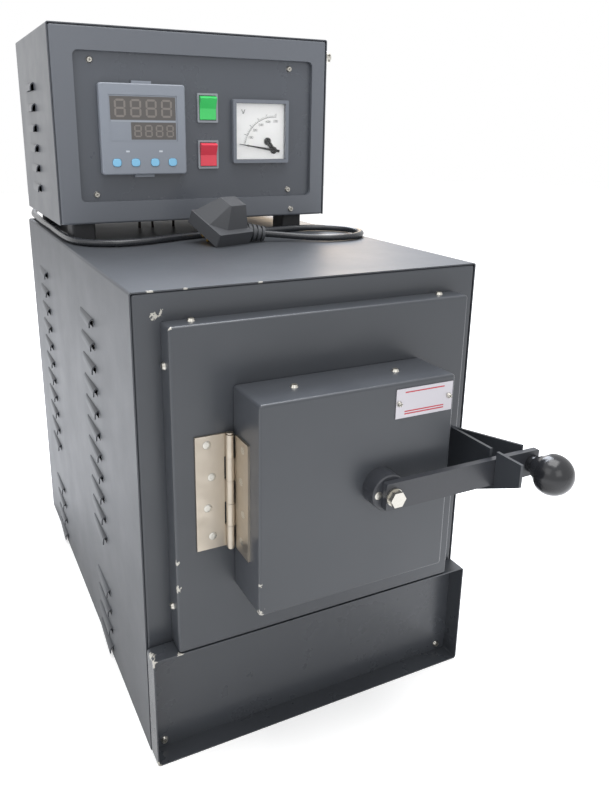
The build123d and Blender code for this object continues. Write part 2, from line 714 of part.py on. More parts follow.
def control_box():
    """The louvred cover, the window frame, the instrument panel, the floor, the back and the feet."""
    x0, x1 = box_x
    y0, y1 = box_y
    louvres = [(x, side, box_louvre_y, box_z + box_louvre_up - i * louvre_pitch)
               for x, side in ((x0, -1), (x1, 1)) for i in range(box_louvre_count)]
    save("box_cover", louvred(wrap(x0, x1, y0, y1, box_z, box_top, sheet), louvres))

    in0, in1 = x0 + sheet + fit_gap, x1 - sheet - fit_gap
    roof = box_top - sheet - fit_gap
    w0, w1 = window_x
    b0, b1 = (box_z + up for up in window_up)
    front = pan(in0, in1, box_z, roof, y0, flange, sheet)
    lip_end = panel_y - fit_gap
    front += plate_with(w0 - sheet, w1 + sheet, y0, lip_end, b0 - sheet, b1 + sheet, window_r + sheet)
    front -= plate_with(w0, w1, y0 - 1, lip_end + 1, b0, b1, window_r)
    front_screws = [((x, y0, box_z + box_screw_up), (0, -1, 0)) for x in box_screw_x]
    save("box_front", front - [screw_hole(*place) for place in front_screws])

    m = panel_margin
    panel = block(w0 - m, w1 + m, panel_y, panel_y + panel_t, b0 - m, b1 + m)
    panel_screws = [((x, panel_y, box_z + up), (0, -1, 0)) for x in panel_screw_x for up in panel_screw_up]
    c = ctl_case_w / 2 + ctl_cut
    cuts = [block(ctl_x - c, ctl_x + c, panel_y - 1, panel_y + panel_t + 1, ctl_z - c, ctl_z + c)]
    for up in (main_up, load_up):
        w, h = switch_case_w / 2 + fit_gap, switch_case_h / 2 + fit_gap
        cuts.append(block(switch_x - w, switch_x + w, panel_y - 1, panel_y + panel_t + 1,
                          box_z + up - h, box_z + up + h))
    cuts.append(rod(meter_case_r + fit_gap, panel_t + 2, (meter_x, panel_y - 1, meter_z), (0, 1, 0)))
    save("instrument_panel", panel - cuts - [screw_hole(*place) for place in panel_screws])

    back = pan(in0, in1, box_z, roof, y1, flange, sheet, forward=True)
    back -= rod(gland_barrel_r + fit_gap, 3 * sheet, (gland_x, y1 - 2 * sheet, box_z + gland_up), (0, 1, 0))
    inset = rear_screw_inset
    back_screws = [((x, y1, z), (0, 1, 0)) for x in (in0 + inset, in1 - inset)
                   for z in (box_z + inset, roof - inset)]
    save("box_back", back - [screw_hole(*place) for place in back_screws])

    f0, f1 = y0 + flange + fit_gap, y1 - flange - fit_gap
    base = block(in0, in1, f0, f1, box_z, box_z + box_tray_h)
    base -= block(in0 + sheet, in1 - sheet, f0 + sheet, f1 - sheet, box_z + sheet, box_z + box_tray_h + 1)
    base -= [rod(lead_r + fit_gap, 3 * sheet, (x, lead_y, box_z - sheet), (0, 0, 1)) for x in lead_x]
    save("box_base", base)

    feet = []
    for x in foot_x:
        for low in (y0 + foot_inset_y, y1 - foot_inset_y - foot_d):
            foot = block(x - foot_w / 2, x + foot_w / 2, low, low + foot_d, case_h, box_z)
            feet.append(fillet(foot.edges().filter_by(Axis.Z), foot_r))
    save("box_feet", *feet)

    stud = (x1, y0 + side_stud_y, box_z + side_stud_up)
    stud = turned([(0, 0), (side_stud_r, 0), (side_stud_r, side_stud_l - 2), (side_stud_r - 2, side_stud_l),
                   (0, side_stud_l)], stud, (1, 0, 0))
    save("box_screws", *[screw(*place) for place in front_screws + panel_screws + back_screws], stud)


# Instruments on the panel

def controller():
    """The temperature controller: its case and bezel, its window and four keys that travel."""
    half = ctl_w / 2
    case = plate_with(ctl_x - half, ctl_x + half, ctl_front, panel_y, ctl_z - half, ctl_z + half, ctl_corner)
    rim = case.faces().sort_by(Axis.Y)[0].edges()
    case = chamfer(rim, ctl_chamfer)
    c = ctl_case_w / 2
    case += block(ctl_x - c, ctl_x + c, panel_y, panel_y + ctl_case_d, ctl_z - c, ctl_z + c)
    for side in (-1, 1):
        z0, z1 = sorted((ctl_z + side * half, ctl_z + side * (half + clip_out)))
        case += block(ctl_x - clip_w / 2, ctl_x + clip_w / 2, panel_y - clip_t - fit_gap, panel_y - fit_gap, z0, z1)
    w, h, mid = display_w / 2, display_h / 2, ctl_z + display_up
    seat = ctl_front + display_sink + display_t
    d = display_clear
    case -= block(ctl_x - w - d, ctl_x + w + d, ctl_front - 1, seat, mid - h - d, mid + h + d)
    key_z = ctl_z - key_down
    room = key_t - key_out + key_travel + key_clear
    for x in key_x:
        u, v = ctl_x + x, key_w / 2 + key_clear
        z = key_h / 2 + key_clear
        case -= plate_with(u - v, u + v, ctl_front - 1, ctl_front + room, key_z - z, key_z + z,
                           key_corner + key_clear)
    save("controller_case", case)
    save("controller_lens", block(ctl_x - w, ctl_x + w, seat - display_t, seat, mid - h, mid + h))
    for i, x in enumerate(key_x):
        u, front = ctl_x + x, ctl_front - key_out
        key = plate_with(u - key_w / 2, u + key_w / 2, front, front + key_t,
                         key_z - key_h / 2, key_z + key_h / 2, key_corner)
        save(f"key_{i + 1}", fillet(key.faces().sort_by(Axis.Y)[0].edges(), key_round))


def switch(name, z):
    """A rocker switch: a frame with a well, and a rocker on a pin with its lower end pressed in."""
    w, h = switch_w / 2, switch_h / 2
    face = panel_y - switch_t
    axis_y = face + rocker_axis
    frame = plate_with(switch_x - w, switch_x + w, face, panel_y, z - h, z + h, switch_corner)
    w, h = switch_case_w / 2, switch_case_h / 2
    frame += block(switch_x - w, switch_x + w, panel_y, panel_y + switch_case_d, z - h, z + h)
    w, h = rocker_w / 2 + rocker_clear, rocker_r + rocker_clear
    frame -= block(switch_x - w, switch_x + w, face - 1, face + rocker_well, z - h, z + h)
    frame -= rod(rocker_pin_r + rocker_run, switch_case_w, (switch_x - switch_case_w / 2, axis_y, z), (1, 0, 0))
    save(f"{name}_switch", frame)

    lean = math.radians(rocker_tilt)
    valley = rocker_axis + rocker_proud
    tip = valley * math.cos(lean)
    reach = math.sqrt(rocker_r ** 2 - tip ** 2)
    v = reach * math.cos(lean) - tip * math.sin(lean)
    u = valley + v * math.tan(lean)
    low = math.sqrt(rocker_r ** 2 - rocker_back ** 2)
    with BuildPart() as body:
        with BuildSketch(Plane.YZ):
            with BuildLine():
                Polyline((rocker_back, -low), (rocker_back, low))
                ThreePointArc((rocker_back, low), (0, rocker_r), (-u, v))
                Polyline((-u, v), (-valley, 0), (-u, -v))
                ThreePointArc((-u, -v), (0, -rocker_r), (rocker_back, -low))
            make_face()
        extrude(amount=rocker_w / 2, both=True)
    pin_half = rocker_w / 2 + rocker_clear + rocker_pin_in
    rocker = body.part + rod(rocker_pin_r, 2 * pin_half, (-pin_half, 0, 0), (1, 0, 0))
    save(f"{name}_rocker", Pos(switch_x, axis_y, z) * Rot(rocker_tilt, 0, 0) * rocker)


def voltmeter():
    """The moving-iron voltmeter: case, dial, a needle on a pivot, and its window."""
    half = meter_w / 2
    case = plate_with(meter_x - half, meter_x + half, meter_front, panel_y, meter_z - half, meter_z + half,
                      meter_corner)
    case += rod(meter_case_r, meter_case_d, (meter_x, panel_y, meter_z), (0, 1, 0))
    inner = half - meter_rim
    floor = meter_front + meter_deep
    case -= block(meter_x - inner, meter_x + inner, meter_front - 1, floor, meter_z - inner, meter_z + inner)
    pivot = (meter_x + needle_x, 0, meter_z - needle_down)
    pin_room = rod(needle_pin_r + needle_run, needle_pin_in + 1, (pivot[0], floor - dial_t - 1, pivot[2]), (0, 1, 0))
    save("voltmeter_case", case - pin_room)
    inner -= board_cut / 2
    save("voltmeter_dial", block(meter_x - inner, meter_x + inner, floor - dial_t, floor,
                                 meter_z - inner, meter_z + inner) - pin_room)
    front = meter_front + lens_back
    save("voltmeter_lens", block(meter_x - inner, meter_x + inner, front, front + lens_t,
                                 meter_z - inner, meter_z + inner))

    y = front + lens_t + needle_behind
    outline = [(-needle_l, -0.2 * needle_w), (needle_tail, -needle_w), (needle_tail, needle_w),
               (-needle_l, 0.2 * needle_w)]
    blade = extrude(make_face(Polyline([(x, 0, z) for x, z in outline], close=True)), needle_t, dir=(0, 1, 0))
    hub = rod(needle_hub_r, needle_hub_t, (0, 0, 0), (0, 1, 0))
    pin_end = floor - dial_t - 1 + needle_pin_in
    pin = rod(needle_pin_r, pin_end - y, (0, 0, 0), (0, 1, 0))
    save("voltmeter_needle", Pos(pivot[0], y, pivot[2]) * Rot(0, needle_rest_deg, 0) * (blade + hub + pin))


# Wiring

def wiring():
    """The terminal block behind the insulation, the leads up to the control box, and the contactor."""
    half, t = terminal_w / 2, terminal_d
    mid = sum(lead_x) / len(lead_x)
    block_y = board_rear_y + fit_gap
    blind = [(x, lead_y, terminal_z + terminal_h - lead_in) for x in lead_x]
    terminal = block(mid - half, mid + half, block_y, block_y + t, terminal_z, terminal_z + terminal_h)
    save("terminal_block", terminal - [rod(lead_r + fit_gap, lead_in + 1, at, (0, 0, 1)) for at in blind])

    floor = box_z + sheet
    top = floor + lead_in
    leads = [rod(lead_r, top - at[2] - fit_gap, at, (0, 0, 1)) for at in blind]
    save("furnace_leads", *leads)

    w, d, h = contactor
    y0 = lead_y - d / 2
    switchgear = block(mid - w / 2, mid + w / 2, y0, y0 + d, floor, floor + h)
    step = block(mid - w / 2 - 1, mid + w / 2 + 1, y0 - 1, y0 + contactor_step, floor + h - contactor_step, floor + h + 1)
    sockets = [rod(lead_r + fit_gap, lead_in + 1, (x, lead_y, floor - 1), (0, 0, 1)) for x in lead_x]
    save("contactor", switchgear - step - sockets)


# Mains cord: out of the control box's back, round behind it, forward under the box's left edge,
# across the roof behind the plug, round in a loop at the right, and into the plug

cord_route = [
    (15.0, -53.6, cord_z + 7.65), (53.5, -58.7, cord_z + 3.6), (88.0, -73.0, cord_z + 0.6),
    (114.1, -87.4, cord_z), (146.4, -84.9, cord_z), (170.7, -60.4, cord_z), (171.6, -26.4, cord_z),
    (147.0, 1.8, cord_z), (111.0, 8.0, cord_z), (68.0, 0.0, cord_z), (20.0, -2.0, cord_z),
    (-32.0, -9.0, cord_z), (-74.0, -27.0, cord_z), (-110.0, -38.0, cord_z), (-131.7, -34.2, cord_z),
    (-149.7, -21.6, cord_z), (-160.4, -2.5, cord_z), (-164.2, 25.0, cord_z), (-164.7, 75.0, cord_z),
    (-163.8, 128.0, cord_z), (-164.7, 183.0, cord_z), (-164.0, 235.0, cord_z + 0.25),
    (-163.4, 291.5, cord_z + 1.45), (-141.0, 318.0, cord_z + 13.0), (-107.0, 318.6, cord_z + 29.5),
    (gland_x, 293.6, box_z + gland_up), (gland_x, 258.5, box_z + gland_up),
]


def mains_cord():
    """The cord as straight runs joined by tangent arcs, each as large as its two runs allow."""
    points = [Vector(*p) for p in cord_route]
    radii = []
    for before, here, after in zip(points, points[1:], points[2:]):
        run_in, run_out = here - before, after - here
        turn = math.radians(run_in.get_angle(run_out))
        radii.append(0.45 * min(run_in.length, run_out.length) / math.tan(turn / 2))
    path = FilletPolyline(*points, radius=radii)
    print("cord radii", [round(r, 1) for r in radii], "length", round(path.length, 1))
    start = Plane(origin=points[0], z_dir=points[1] - points[0])
    tube = sweep(start * Circle(cord_r), path=path)
    print("cord volume / section x length", round(tube.volume / (math.pi * cord_r ** 2 * path.length), 4))
    save("power_cord", tube)


def gland():
    """The cable gland: a threaded barrel through the box's back, a nut each side, and a cap."""
    z = box_z + gland_up
    y0, y1 = box_y[1] - sheet, box_y[1]
    side = Plane((gland_x, y1 + fit_gap, z), x_dir=(1, 0, 0), z_dir=(0, 1, 0))
    body = extrude(side * RegularPolygon(gland_nut_r, 6), gland_nut_t)
    nut = Plane((gland_x, y0 - fit_gap, z), x_dir=(1, 0, 0), z_dir=(0, -1, 0))
    body += extrude(nut * RegularPolygon(gland_nut_r, 6), gland_inner_nut_t)
    body += rod(gland_barrel_r, y1 - y0 + 2 * gland_inner_nut_t, (gland_x, y0 - 1.5 * gland_inner_nut_t, z), (0, 1, 0))
    cap_y = y1 + fit_gap + gland_nut_t
    cap_end = gland_l - gland_nut_t
    body += turned([(0, 0), (gland_cap_r, 0), (gland_cap_r, 0.3 * cap_end), (cord_r + 1.6, cap_end), (0, cap_end)],
                   (gland_x, cap_y, z), (0, 1, 0))
    save("cord_gland", body - rod(cord_r + cord_clear, 4 * gland_l, (gland_x, y0 - gland_l, z), (0, 1, 0)))


def mains_plug():
    """The three-pin plug, tipped forward on the casing's roof, with its ribbed strain relief."""
    slab = fillet(block(0, mains_w, 0, mains_d, 0, mains_slab_t).edges().filter_by(Axis.Z), mains_round)
    foot, top = [make_face(Polyline([(x, y, z) for x, y in outline], close=True))
                 for outline, z in ((grip_foot, mains_slab_t), (grip_top, mains_slab_t + mains_grip_h))]
    place = Pos(mains_at[0], mains_at[1], case_h) * Rot(0, 0, mains_yaw) * Rot(mains_tilt, 0, 0)
    body = place * (slab + loft([foot, top], ruled=True))

    start, end = Vector(*cord_route[0]), Vector(*cord_route[1])
    along = (end - start).normalized()
    outline = [(0, 0), (relief_r0, 0)]
    for i in range(relief_ribs):
        rib = relief_r0 - (relief_r0 - relief_r1) * i / relief_ribs
        h = relief_sunk + relief_first + i * relief_pitch
        outline += [(rib, h), (rib - relief_groove, h), (rib - relief_groove, h + relief_slot),
                    (rib - 0.2, h + relief_slot)]
    long = relief_sunk + mains_relief_l
    outline += [(relief_r1, long), (0, long)]
    body += turned(outline, start - along * relief_sunk, along)
    body -= rod(cord_r + relief_clear, long + 1, start - along, along)
    save("plug_body", body)

    pins = []
    rows = [(-pin_live_half, pin_live_y, pin_live_r, pin_live_l), (pin_live_half, pin_live_y, pin_live_r, pin_live_l),
            (0, pin_earth_y, pin_earth_r, pin_earth_l)]
    for x, y, r, long in rows:
        pin = rod(r, long, (mains_w / 2 + x, y, 0), (0, 0, -1))
        end = pin.faces().sort_by(Axis.Z)[0].edges()
        pins.append(place * chamfer(end, 0.7 * r))
    save("plug_pins", *pins)


cover_and_rear_screws = casing()
pan_screws = raised_pan()
save("casing_screws", *[screw(*place) for place in cover_and_rear_screws + pan_screws])
hot_parts()
hinge()
door()
latch()
control_box()
controller()
switch("main", box_z + main_up)
switch("load", box_z + load_up)
voltmeter()
wiring()
mains_cord()
gland()
mains_plug()
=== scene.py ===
"""Looks of a bench-top muffle furnace: a black powder-coated casing with a hinged door, and a
control box on its roof. Metres, +Z up, the door faces -Y, origin on the floor under the casing."""
import math

import bpy
import numpy as np
from mathutils import Matrix, Vector


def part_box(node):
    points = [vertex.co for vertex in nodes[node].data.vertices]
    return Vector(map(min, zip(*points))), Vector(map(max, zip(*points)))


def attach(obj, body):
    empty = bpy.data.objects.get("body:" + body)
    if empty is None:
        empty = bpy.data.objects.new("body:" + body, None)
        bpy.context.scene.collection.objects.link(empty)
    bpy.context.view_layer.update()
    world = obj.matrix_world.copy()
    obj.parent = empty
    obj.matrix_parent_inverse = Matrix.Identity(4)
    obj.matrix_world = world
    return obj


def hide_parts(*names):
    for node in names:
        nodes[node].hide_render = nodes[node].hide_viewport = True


MM = 0.001
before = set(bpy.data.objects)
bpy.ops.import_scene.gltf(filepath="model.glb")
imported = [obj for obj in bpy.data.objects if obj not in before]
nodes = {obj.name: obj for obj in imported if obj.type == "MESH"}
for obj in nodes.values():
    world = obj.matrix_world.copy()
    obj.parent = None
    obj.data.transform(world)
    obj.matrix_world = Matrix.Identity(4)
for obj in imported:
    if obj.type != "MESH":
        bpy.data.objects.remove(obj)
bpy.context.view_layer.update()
scene = bpy.context.scene


# Camera
# It stands in front of the casing's left edge at the height of the control box, as in the
# photograph, and its shift puts the picture's middle where the photograph has it.

camera_at = (-0.3133, -0.8206, 0.5657)
camera_right = Vector((0.89776, -0.44037, 0.01017))
camera_forward = Vector((0.42489, 0.85967, -0.28361))
focal_px = 736.9
frame_px = (609, 789)
axis_px = (281.5, 346.6)

camera_data = bpy.data.cameras.new("camera")
camera = bpy.data.objects.new("camera", camera_data)
camera_down = camera_forward.cross(camera_right)
turn = Matrix((camera_right, -camera_down, -camera_forward)).transposed().to_4x4()
camera.matrix_world = Matrix.Translation(camera_at) @ turn
camera_data.sensor_width = 36.0
camera_data.lens = 36.0 * focal_px / frame_px[1]
camera_data.shift_x = (frame_px[0] / 2 - axis_px[0]) / frame_px[1]
camera_data.shift_y = (axis_px[1] - frame_px[1] / 2) / frame_px[1]
scene.collection.objects.link(camera)
scene.camera = camera


# Mains cord, plug and gland
# Round rubber-sheathed cord in one length. It leaves the gland at the back of the control box,
# comes forward under the box, and loops on the roof to the moulded three-pin plug.

cord_radius = 3.75 * MM
cord_z = 446.05
cord_route = [
    (15.0, -53.6, cord_z + 7.65), (53.5, -58.7, cord_z + 3.6), (88.0, -73.0, cord_z + 0.6),
    (114.1, -87.4, cord_z), (146.4, -84.9, cord_z), (170.7, -60.4, cord_z), (171.6, -26.4, cord_z),
    (147.0, 1.8, cord_z), (111.0, 8.0, cord_z), (68.0, 0.0, cord_z), (20.0, -2.0, cord_z),
    (-32.0, -9.0, cord_z), (-74.0, -27.0, cord_z), (-110.0, -38.0, cord_z), (-131.7, -34.2, cord_z),
    (-149.7, -21.6, cord_z), (-160.4, -2.5, cord_z), (-164.2, 25.0, cord_z), (-164.7, 75.0, cord_z),
    (-163.8, 128.0, cord_z), (-164.7, 183.0, cord_z), (-164.0, 235.0, cord_z + 0.25),
    (-163.4, 291.5, cord_z + 1.45), (-141.0, 318.0, cord_z + 13.0), (-107.0, 318.6, cord_z + 29.5),
    (-84.0, 293.6, 486.0), (-84.0, 258.5, 486.0),
]


def linear(colour):
    """An sRGB hex colour as linear red, green and blue, and an alpha of 1."""
    parts = [int(colour[i:i + 2], 16) / 255 for i in (1, 3, 5)]
    return [c / 12.92 if c <= 0.04045 else ((c + 0.055) / 1.055) ** 2.4 for c in parts] + [1.0]


def add(tree, kind, settings=None, links=None):
    """Adds one node to a tree. Settings go to its properties or its inputs, links to its inputs."""
    made = tree.nodes.new("ShaderNode" + kind)
    for key, value in (settings or {}).items():
        if isinstance(key, str) and hasattr(made, key):
            setattr(made, key, value)
        else:
            made.inputs[key].default_value = value
    for key, (source, output) in (links or {}).items():
        tree.links.new(source.outputs[output], made.inputs[key])
    return made


def finish(name, colour, roughness, grain_mm=None, relief=0.1, **sockets):
    """A material of one colour, its shader's sockets set by their names. Its grain is noise at the
    grain's size: it lifts the surface as a bump, and swings the gloss a little either way."""
    material = bpy.data.materials.new(name)
    material.use_nodes = True
    tree = material.node_tree
    shader = tree.nodes["Principled BSDF"]
    shader.inputs["Base Color"].default_value = linear(colour)
    shader.inputs["Roughness"].default_value = roughness
    for key, value in sockets.items():
        shader.inputs[key.replace("_", " ").title().replace("Ior", "IOR")].default_value = value
    if grain_mm is None:
        return material
    place = add(tree, "TexCoord")
    grain = add(tree, "TexNoise", {"Scale": 1 / (grain_mm * MM), "Detail": 3.0},
                {"Vector": (place, "Object")})
    gloss = add(tree, "MapRange", {"From Min": 0.3, "From Max": 0.7, "To Min": roughness * 0.85,
                                   "To Max": roughness * 1.15}, {"Value": (grain, "Fac")})
    lifted = add(tree, "Bump", {"Strength": relief, "Distance": grain_mm * MM / 10},
                 {"Height": (grain, "Fac")})
    tree.links.new(gloss.outputs["Result"], shader.inputs["Roughness"])
    tree.links.new(lifted.outputs["Normal"], shader.inputs["Normal"])
    return material


def coat(material, *names):
    """Gives CAD nodes one material."""
    for name in names:
        slots = nodes[name].data.materials
        slots.clear()
        slots.append(material)


# A chloroprene sheath, extruded: dull black, with a soft grey line along its top that the fine
# grain of the rubber breaks up
sheath = finish("chloroprene sheath", "#2b2d31", 0.26, 0.9, relief=0.25)
cord_curve = bpy.data.curves.new("mains_cord", "CURVE")
cord_curve.dimensions = "3D"
cord_line = cord_curve.splines.new("NURBS")
cord_line.points.add(len(cord_route) - 1)
cord_line.points.foreach_set("co", np.insert(np.array(cord_route) * MM, 3, 1.0, axis=1).ravel())
cord_line.order_u = 3
cord_line.use_endpoint_u = True
cord_line.resolution_u = 12
cord_curve.bevel_depth = cord_radius
cord_curve.bevel_resolution = 6
cord_curve.use_fill_caps = True
cord = bpy.data.objects.new("mains_cord", cord_curve)
scene.collection.objects.link(cord)
cord_curve.materials.append(sheath)
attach(cord, "furnace")
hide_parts("power_cord")

# Moulded PVC: matt, with the pebbled skin of a spark-eroded mould, and greyer than the sheath
moulded_pvc = finish("moulded PVC plug", "#46484c", 0.45, 0.7, relief=0.5)
coat(moulded_pvc, "plug_body")
# Moulded nylon: black and satin. Milled brass: warm, with a faint tooling grain
coat(finish("moulded nylon gland", "#17181a", 0.45, 0.6, relief=0.3), "cord_gland")
coat(finish("milled brass pins", "#c9a45a", 0.25, 0.4, metallic=1.0), "plug_pins")


# Powder-coated sheet
# Folded mild steel under a satin black polyester powder coat. The coat flows out with a faint
# orange peel a few millimetres wide, and some of its edges and corners carry pale grey ragged spots.

coat_colour = "#404348"
# Pale grey of the ragged spots that some edges and corners of the coat carry
pale_spot_colour = "#b9b6ae"
peel_mm, peel_depth = 2.5, 0.2 * MM
smear_mm = 60.0
pale_spot_grain_mm = 2.2
pale_spot_middle = 0.62       # what the nearness to a pale spot's middle adds to the noise
pale_spot_cut = 0.86          # pale spot above this


def powder_coat(name, colour, roughness, pale_spots=(), peel=0.05, smear_swing=0.05):
    """The coat's bump is noise at the peel's size, its gloss varies in broad smears, and each pale spot
    is a ragged patch of pale grey: noise cut off by the distance from a point in millimetres."""
    material = finish(name, colour, roughness)
    tree = material.node_tree
    shader = tree.nodes["Principled BSDF"]
    place = add(tree, "TexCoord")
    ripple = add(tree, "TexNoise", {"Scale": 1 / (peel_mm * MM), "Detail": 2.0},
                 {"Vector": (place, "Object")})
    bump = add(tree, "Bump", {"Strength": peel, "Distance": peel_depth}, {"Height": (ripple, "Fac")})
    tree.links.new(bump.outputs["Normal"], shader.inputs["Normal"])
    smear = add(tree, "TexNoise", {"Scale": 1 / (smear_mm * MM), "Detail": 5.0, "Roughness": 0.6},
                {"Vector": (place, "Object")})
    gloss = add(tree, "MapRange", {"From Min": 0.35, "From Max": 0.65, "To Min": roughness - smear_swing,
                                   "To Max": roughness + smear_swing}, {"Value": (smear, "Fac")})
    tree.links.new(gloss.outputs["Result"], shader.inputs["Roughness"])
    if not pale_spots:
        return material
    ragged = add(tree, "TexNoise", {"Scale": 1 / (pale_spot_grain_mm * MM), "Detail": 3.0},
                 {"Vector": (place, "Object")})
    spot_field = None
    for x, y, z, reach in pale_spots:
        away = add(tree, "VectorMath", {"operation": "DISTANCE", 1: (x * MM, y * MM, z * MM)},
                   {0: (place, "Object")})
        near = add(tree, "MapRange", {"From Min": 0.0, "From Max": reach * MM, "To Min": pale_spot_middle,
                                      "To Max": 0.0}, {"Value": (away, "Value")})
        spot = add(tree, "Math", {"operation": "ADD"}, {0: (near, "Result"), 1: (ragged, "Fac")})
        spot_field = spot if spot_field is None else add(tree, "Math", {"operation": "MAXIMUM"},
                                             {0: (spot_field, 0), 1: (spot, 0)})
    in_spot = add(tree, "Math", {"operation": "GREATER_THAN", 1: pale_spot_cut}, {0: (spot_field, 0)})
    mix = add(tree, "Mix", {"data_type": "RGBA", 6: linear(colour), 7: linear(pale_spot_colour)}, {0: (in_spot, 0)})
    tree.links.new(mix.outputs[2], shader.inputs["Base Color"])
    return material


# Casing
# One sheet folded over both sides and the roof, closed by a folded pan at each end. A tray with
# its edges turned forward covers the front's foot, and a raised pan frames the mouth.

def box_mm(name):
    """A node's box in millimetres: its low and its high corner."""
    return [[c / MM for c in corner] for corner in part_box(name)]


(case_left, case_front, _), (_, _, case_top) = box_mm("casing_wrap")
(pan_left, pan_front, pan_low), (_, _, pan_top) = box_mm("raised_front_pan")
(cover_left, cover_front, _), (_, _, cover_top) = box_mm("lower_front_cover")

# Pale spots, each with its reach: along the roof's front edge from its left end, across and up from
# the raised pan's top left corner, from the lower cover's left edge, and up the pan's left edge
roof_spots = ((0, 8), (22, 6), (52, 4), (118, 4))
corner_spots = ((-4, 5, 7), (1, 8, 4))
pan_spots = ((66, 7), (92, 5), (pan_top - pan_low, 6))
casing_coat = powder_coat("powder-coated casing", coat_colour, 0.46, peel=0.06, smear_swing=0.025)
wrap_coat = powder_coat(
    "powder-coated casing, pale-spotted front edge", coat_colour, 0.46, peel=0.06, smear_swing=0.025,
    pale_spots=[(case_left + along, case_front, case_top, reach) for along, reach in roof_spots])
front_coat = powder_coat(
    "powder-coated front", coat_colour, 0.34,
    pale_spots=[(pan_left + across, case_front, pan_top + up, reach) for across, up, reach in corner_spots])
cover_coat = powder_coat("powder-coated lower cover", coat_colour, 0.3, pale_spots=[
    (cover_left, cover_front, cover_top - 3, 9), (cover_left, cover_front + 10, cover_top, 8),
    (cover_left + 24, cover_front, cover_top, 6), (cover_left, cover_front, 3, 8)])
pan_coat = powder_coat(
    "powder-coated raised pan", coat_colour, 0.34,
    pale_spots=[(pan_left, pan_front, pan_low + up, reach) for up, reach in pan_spots])
coat(wrap_coat, "casing_wrap")
coat(casing_coat, "rear_panel")
coat(front_coat, "front_panel")
coat(cover_coat, "lower_front_cover")
coat(pan_coat, "raised_front_pan")
# Hot-dip galvanised sheet: dull zinc grey, in flat crystals that each mirror a little differently
spangle_mm = 9.0
galvanised = finish("galvanised sheet", "#8f9396", 0.5, metallic=1.0)
tree = galvanised.node_tree
crystal = add(tree, "TexVoronoi", {"Scale": 1 / (spangle_mm * MM)},
              {"Vector": (add(tree, "TexCoord"), "Object")})
facet = add(tree, "SeparateColor", {}, {"Color": (crystal, "Color")})
gloss = add(tree, "MapRange", {"To Min": 0.36, "To Max": 0.6}, {"Value": (facet, "Red")})
tree.links.new(gloss.outputs["Result"], tree.nodes["Principled BSDF"].inputs["Roughness"])
coat(galvanised, "base_tray", "door_back_plate")


# Muffle and its insulation
# A square muffle of fired refractory with nine turns of ribbon let into its outside, packed in
# ceramic-fibre board. The probe comes in through the rear.

# Cast and fired refractory: a matt buff that shows its grit
grit_mm, grit_depth = 1.5, 0.3 * MM
refractory = finish("fired refractory", "#d3c7ae", 0.85)
tree = refractory.node_tree
grit = add(tree, "TexNoise", {"Scale": 1 / (grit_mm * MM), "Detail": 4.0},
           {"Vector": (add(tree, "TexCoord"), "Object")})
rough_face = add(tree, "Bump", {"Strength": 0.25, "Distance": grit_depth}, {"Height": (grit, "Fac")})
tree.links.new(rough_face.outputs["Normal"], tree.nodes["Principled BSDF"].inputs["Normal"])
coat(refractory, "mouth_block", "muffle", "door_plug", "terminal_block")
# Vacuum-formed fibre board: chalk white and felted. Drawn alloy: a dark, scaly oxide
coat(finish("ceramic fibre board", "#e6e3da", 0.85, 1.6, relief=0.8), "insulation_sides", "insulation_top",
     "insulation_bottom", "insulation_rear", "door_insulation")
coat(finish("oxidised resistance alloy", "#5c554f", 0.55, 0.7, relief=0.4, metallic=1.0), "heating_element",
     "thermocouple")


# Door
# A folded shell of the same coated sheet, with pale grey ragged spots at its lower left corner,
# and a blank rating plate of brushed aluminium held by two small screws.

(door_left, door_front, door_low), (door_right, _, door_top) = box_mm("door_shell")
door_coat = powder_coat("powder-coated door", coat_colour, 0.36, peel=0.045, pale_spots=[
    (door_left, door_front, door_low, 11), (door_left, door_front, door_low + 30, 4),
    (door_right, door_front, door_top, 4)])
coat(door_coat, "door_shell")

# Rolled and brushed aluminium: pale, with fine lines along its length
brushed_aluminium = finish("brushed aluminium plate", "#bab7bc", 0.38, metallic=1.0)
line_mm, line_wide_mm, line_depth = 25.0, 0.25, 0.1 * MM
per_line = (1 / (line_mm * MM), 1 / (line_wide_mm * MM), 1 / (line_wide_mm * MM))
tree = brushed_aluminium.node_tree
stretch = add(tree, "Mapping", {"Scale": per_line}, {"Vector": (add(tree, "TexCoord"), "Object")})
lines = add(tree, "TexNoise", {"Scale": 1.0, "Detail": 2.0}, {"Vector": (stretch, "Vector")})
brushing = add(tree, "Bump", {"Strength": 0.12, "Distance": line_depth}, {"Height": (lines, "Fac")})
tree.links.new(brushing.outputs["Normal"], tree.nodes["Principled BSDF"].inputs["Normal"])
coat(brushed_aluminium, "name_plate")

plate_low, plate_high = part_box("name_plate")
print_lift = 0.06 * MM


def sheet_mesh(name, points, faces, material, body):
    """Makes a mesh object from points and faces, gives it a material and lets it ride on a body."""
    mesh = bpy.data.meshes.new(name)
    mesh.from_pydata([tuple(p) for p in np.asarray(points, float).reshape(-1, 3)], [], faces)
    mesh.update()
    piece = bpy.data.objects.new(name, mesh)
    scene.collection.objects.link(piece)
    mesh.materials.append(material)
    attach(piece, body)
    return piece


def printed(name, outlines, y, material, body, lift=print_lift):
    """Flat ink on a face across Y: each outline is an (n, 2) array of x and z, raised a hair in
    front of the face at y and closed by an edge back to it."""
    points, faces, start = [], [], 0
    for outline in outlines:
        x, z = np.asarray(outline, float).T
        n = len(x)
        ring = np.stack([np.r_[x, x], np.r_[np.full(n, y - lift), np.full(n, y)], np.r_[z, z]], axis=1)
        points.append(ring)
        i = np.arange(n)
        j = (i + 1) % n
        faces += [list(start + i)] + (start + np.stack([i, i + n, j + n, j], axis=1)).tolist()
        start += 2 * n
    return sheet_mesh(name, np.concatenate(points), faces, material, body)


def bar_outline(x0, z0, x1, z1):
    """A rectangle's corners, anticlockwise seen from the front."""
    return np.array([(x0, z0), (x1, z0), (x1, z1), (x0, z1)])


